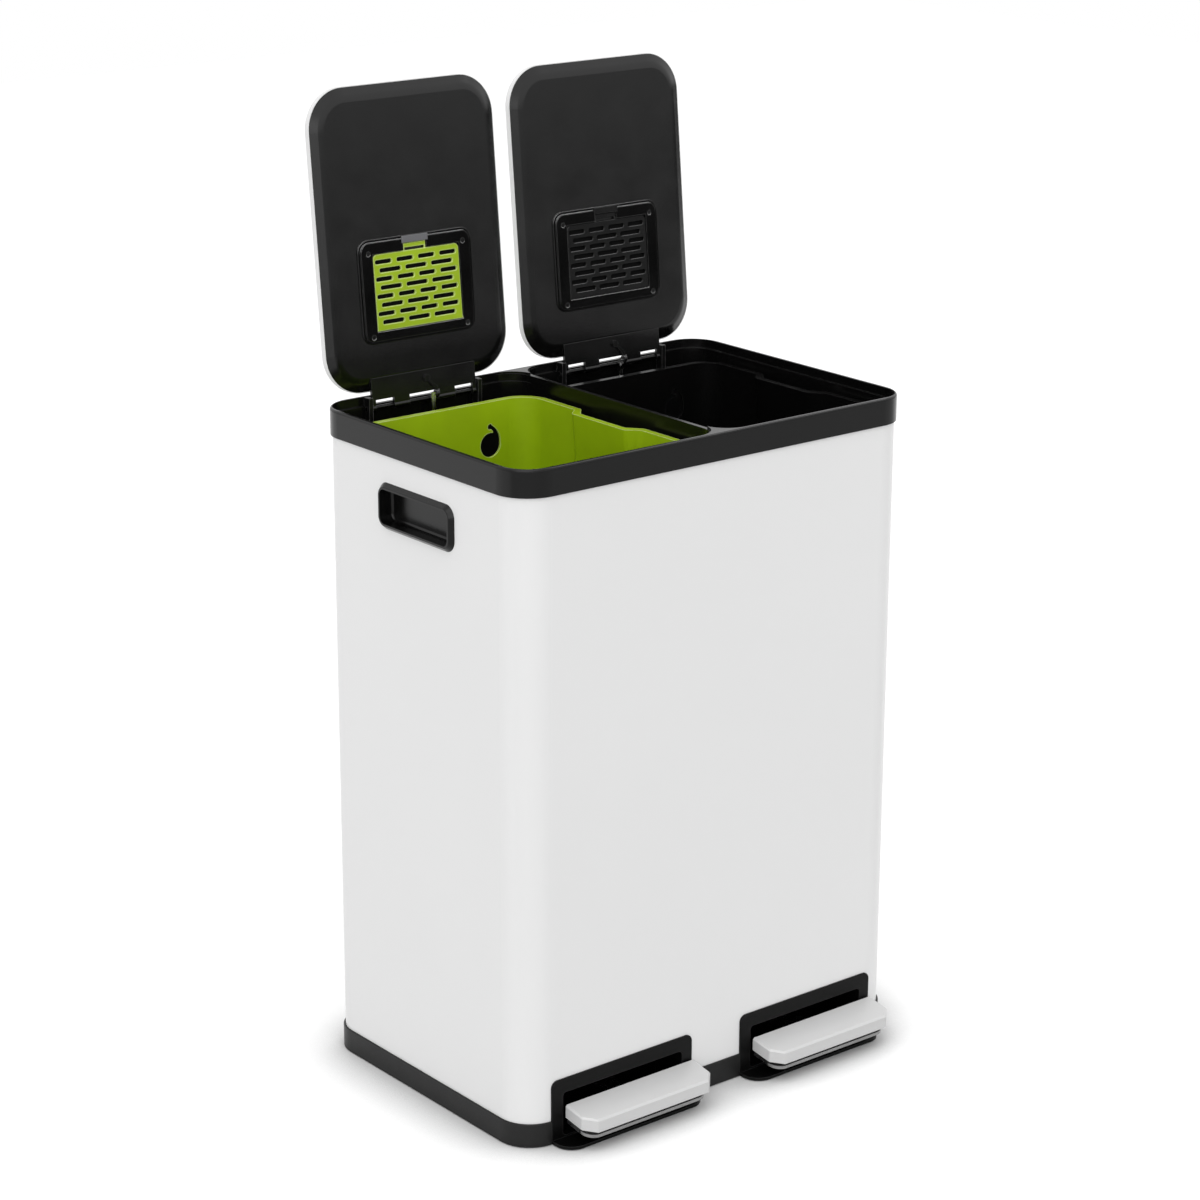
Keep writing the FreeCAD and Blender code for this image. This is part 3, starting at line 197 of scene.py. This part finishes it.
def shell_paint():
    """White outside. The inside face, whose normal points to the middle, is made near black."""
    look = painted("white_steel")
    flat = look.vector("MULTIPLY", look.coordinates("Object"), (1, 1, 0))
    face = look.add("ShaderNodeNewGeometry").outputs["True Normal"]
    facing = look.vector("DOT_PRODUCT", flat, face, "Value")
    look.set_paint(look.blend(look.math("LESS_THAN", facing, INWARD), look.paint, INSIDE_BLACK))
    return look


def moulded(name, color, rough, edge, grain=0.00003, specular=0.30, edge_radius=0.0006,
            upper=False):
    """Moulded plastic, or dull paint: a fine grain and a painted highlight along the edges."""
    look = Look(name, color, rough, specular=specular)
    look.bump(look.noise(scale=1500, detail=3), depth=grain)
    look.vary_rough(look.noise(scale=30, detail=4), amount=0.03)
    look.vary_color(look.noise(scale=22, detail=4), amount=0.08)
    look.paint_edge_highlight(edge, amount=1.0, radius=edge_radius, upper=upper)
    return look


def bright_metal(name, color, rough):
    """Drawn steel, with a fine grain along Z."""
    look = Look(name, color, rough, metallic=1.0)
    look.bump(look.noise(scale=500, detail=2, stretch=(1, 1, 0.05)), depth=0.00003)
    look.vary_rough(look.noise(scale=60, detail=4), amount=0.08)
    look.vary_color(look.noise(scale=90, detail=3), amount=0.06)
    return look


def felt(name, color):
    """A fibrous pad: coarse relief and specks, with no gloss."""
    look = Look(name, color, rough=0.95, specular=0.1)
    look.bump(look.noise(scale=900, detail=5), depth=0.0006)
    look.vary_color(look.noise(scale=700, detail=3), amount=0.4)
    return look


# in each moulded look the colour after the roughness is its painted edge highlight
MATERIALS = {
    "white_steel": shell_paint(),
    "silver_paint": painted("silver_paint", grey(0.60), 0.38),
    "black_plastic": moulded("black_plastic", grey(0.003), 0.22, grey(0.03)),
    "dark_plastic": moulded("dark_plastic", grey(0.006), 0.45, grey(0.03), 0.0001),
    "green_plastic": moulded("green_plastic", (0.325, 0.475, 0.006), 0.34, (0.80, 0.88, 0.46),
                             specular=0.35, edge_radius=0.0012),
    "grey_plastic": moulded("grey_plastic", (0.14, 0.14, 0.15), 0.3, grey(0.4)),
    "bright_steel": bright_metal("bright_steel", grey(0.30), 0.28),
    "black_steel": bright_metal("black_steel", grey(0.03), 0.3),
    "grey_steel": moulded("grey_steel", grey(0.004), 0.3, grey(0.20), specular=0.25),
    "rubber": moulded("rubber", grey(0.010), 0.8, grey(0.02), 0.0001),
    "charcoal_felt": felt("charcoal_felt", grey(0.004)),
}
# these nodes are glossier or duller than the rest of their slot
FINISHES = {
    "lid_skin": painted("lid_enamel", grey(0.76), 0.3, coat=0.0, specular=0.2, relief=0.000008),
    "lid_liner": moulded("satin_black", grey(0.003), 0.2, grey(0.05), specular=0.5),
    "push_rod": bright_metal("polished_steel", grey(0.70), 0.2),
    # the frame's painted edge highlight is light grey and lies mostly on the edges that face up
    "filter_frame": moulded("gloss_black", grey(0.001), 0.1, grey(0.70), specular=0.25,
                            edge_radius=0.0009, upper=True),
    "pedal_housing": moulded("dull_black", grey(0.002), 0.35, grey(0.05), specular=0.15),
}
slot_of = {part["node"]: part["material_slot"] for part in frame["record"]["subparts"]}
for name, node in nodes.items():
    sort = name.rsplit("_", 1)[0]       # the name without its side
    node.data.materials.clear()
    node.data.materials.append(FINISHES.get(sort, MATERIALS[slot_of[name]]).material)


# ------------------------------------------------------------------ floor and world

FLOOR_REACH = 6.0
CONTACT = 0.09                          # metres that the contact shadow reaches
SHADE, OPEN = 0.50, 0.97                # open air over the floor, at the bin and away from it
# the smaller lift in shade paints the contact shadow darker
LIFT_IN_SHADE, LIFT_IN_OPEN = 0.03, 0.46
DIM_FROM, DIM_TO = -0.30, -0.14         # Y over which the mirrored floor goes from its painted shade to white
DIM_FLOOR = 0.1
SOFT_LIGHT = 0.80                       # the world's strength on the bin
DIM_ROOM = 0.06                         # the room in front of the bin, in reflections
HORIZON = (-0.05, 0.05)                 # Z of a direction, from the dim room to the white above
BEHIND = (-0.1, 0.4)                    # Y of a direction, from the dim room to the white behind
SEEN = ("Is Camera Ray", "Is Transmission Ray")


def link(name, data):
    item = bpy.data.objects.new(name, data)
    bpy.context.scene.collection.objects.link(item)
    return item


corners = [(x * FLOOR_REACH, y * FLOOR_REACH, 0) for x, y in ((-1, -1), (1, -1), (1, 1), (-1, 1))]
mesh = bpy.data.meshes.new("floor")
mesh.from_pydata(corners, [], [(0, 1, 2, 3)])
mesh.update()
floor = link("floor", mesh)
look = Look("floor_paint", grey(0.60), rough=0.9, specular=0.1)
look.vary_rough(look.noise(scale=3, detail=2), amount=0.02)
mesh.materials.append(look.material)

# the floor's own shade keeps the shadow; this lifts it to the white of the background, and lifts
# it less where the bin hides the open air, a painted contact shadow.
# In reflections the floor is white beside and behind the bin and dims in front of it, a painted
# shade.
open_air = look.add("ShaderNodeAmbientOcclusion", samples=8)
look.fill(open_air.inputs["Distance"], CONTACT)
lift = look.ramp(open_air.outputs["AO"], SHADE, OPEN, LIFT_IN_SHADE, LIFT_IN_OPEN)
dim = look.ramp(look.axes(look.coordinates("Object"))["Y"], DIM_FROM, DIM_TO, DIM_FLOOR, 1.0)
mirrored = look.math("MULTIPLY", look.rays("Is Glossy Ray"), dim)
seen = look.math("MAXIMUM", look.rays(*SEEN), mirrored)
look.fill(look.shader["Emission Color"], (1, 1, 1, 1))
look.fill(look.shader["Emission Strength"], look.math("MULTIPLY", seen, lift))

# the world: white where it is seen, a plain soft light on the bin,
# and in reflections white behind and above with a dim room in front
world = bpy.data.worlds.new("studio")
bpy.context.scene.world = world
world.use_nodes = True
graph = Graph(world.node_tree)
sky = world.node_tree.nodes["Background"].inputs
axes = graph.axes(graph.coordinates("Generated"))
room = graph.math("MAXIMUM", graph.ramp(axes["Z"], *HORIZON, DIM_ROOM, 1.0),
                  graph.ramp(axes["Y"], *BEHIND, 0.0, 1.0))
mirrored = graph.math("MULTIPLY", graph.rays("Is Glossy Ray"), room)
plain = graph.math("MULTIPLY", graph.rays("Is Diffuse Ray"), SOFT_LIGHT)
seen = graph.math("MAXIMUM", graph.rays(*SEEN), mirrored)
graph.fill(sky["Strength"], graph.math("MAXIMUM", seen, plain))
graph.fill(sky["Color"], (1, 1, 1, 1))


# ------------------------------------------------------------------ lights and camera

LIT_POINT = Vector((0, 0, 0.45))        # the middle of the bin with its lids open


def add_light(name, kind, towards, energy, **values):
    """A light that stands off the middle of the bin by a vector and shines back at it."""
    light = bpy.data.lights.new(name, kind)
    light.energy = energy
    for word, value in values.items():
        setattr(light, word, value)
    item = link(name, light)
    towards = Vector(towards)
    item.location = LIT_POINT + towards
    item.rotation_euler = towards.to_track_quat("Z", "Y").to_euler()
    item.visible_camera = False


add_light("key", "SUN", towards=(-0.30, -0.30, 0.905), energy=0.9, angle=1.0)
add_light("fill", "SUN", towards=(-0.70, -0.70, 0.14), energy=0.75, angle=1.0)
add_light("strip", "AREA", towards=(1.9, -0.2, 2.4), energy=8, shape="SQUARE", size=0.9)

# the camera stands where the photograph was taken from
AZIMUTH, ELEVATION, ROLL = (math.radians(v) for v in (-38.949, 17.566, 0.188))
CAMERA_PLACE = Vector((-1.8599, -2.2779, 1.3826))
IMAGE_SIZE, FOCAL_PIXELS = 1200, 3220.42
SENSOR = 36.0                           # millimetres

back = Vector((math.sin(AZIMUTH) * math.cos(ELEVATION),
               -math.cos(AZIMUTH) * math.cos(ELEVATION), math.sin(ELEVATION)))
level_right = (-back).cross(Vector((0, 0, 1))).normalized()
level_up = level_right.cross(-back)
cosine, sine = math.cos(ROLL), math.sin(ROLL)
right = cosine * level_right + sine * level_up
upward = cosine * level_up - sine * level_right
lens = bpy.data.cameras.new("camera")
lens.sensor_width = SENSOR
lens.lens = SENSOR * FOCAL_PIXELS / IMAGE_SIZE
lens.clip_start = 0.05
lens.clip_end = 50
camera = link("camera", lens)
turn = Matrix((right, upward, back)).transposed().to_4x4()
camera.matrix_world = Matrix.Translation(CAMERA_PLACE) @ turn
bpy.context.scene.camera = camera
bpy.context.scene.view_settings.view_transform = "Standard"
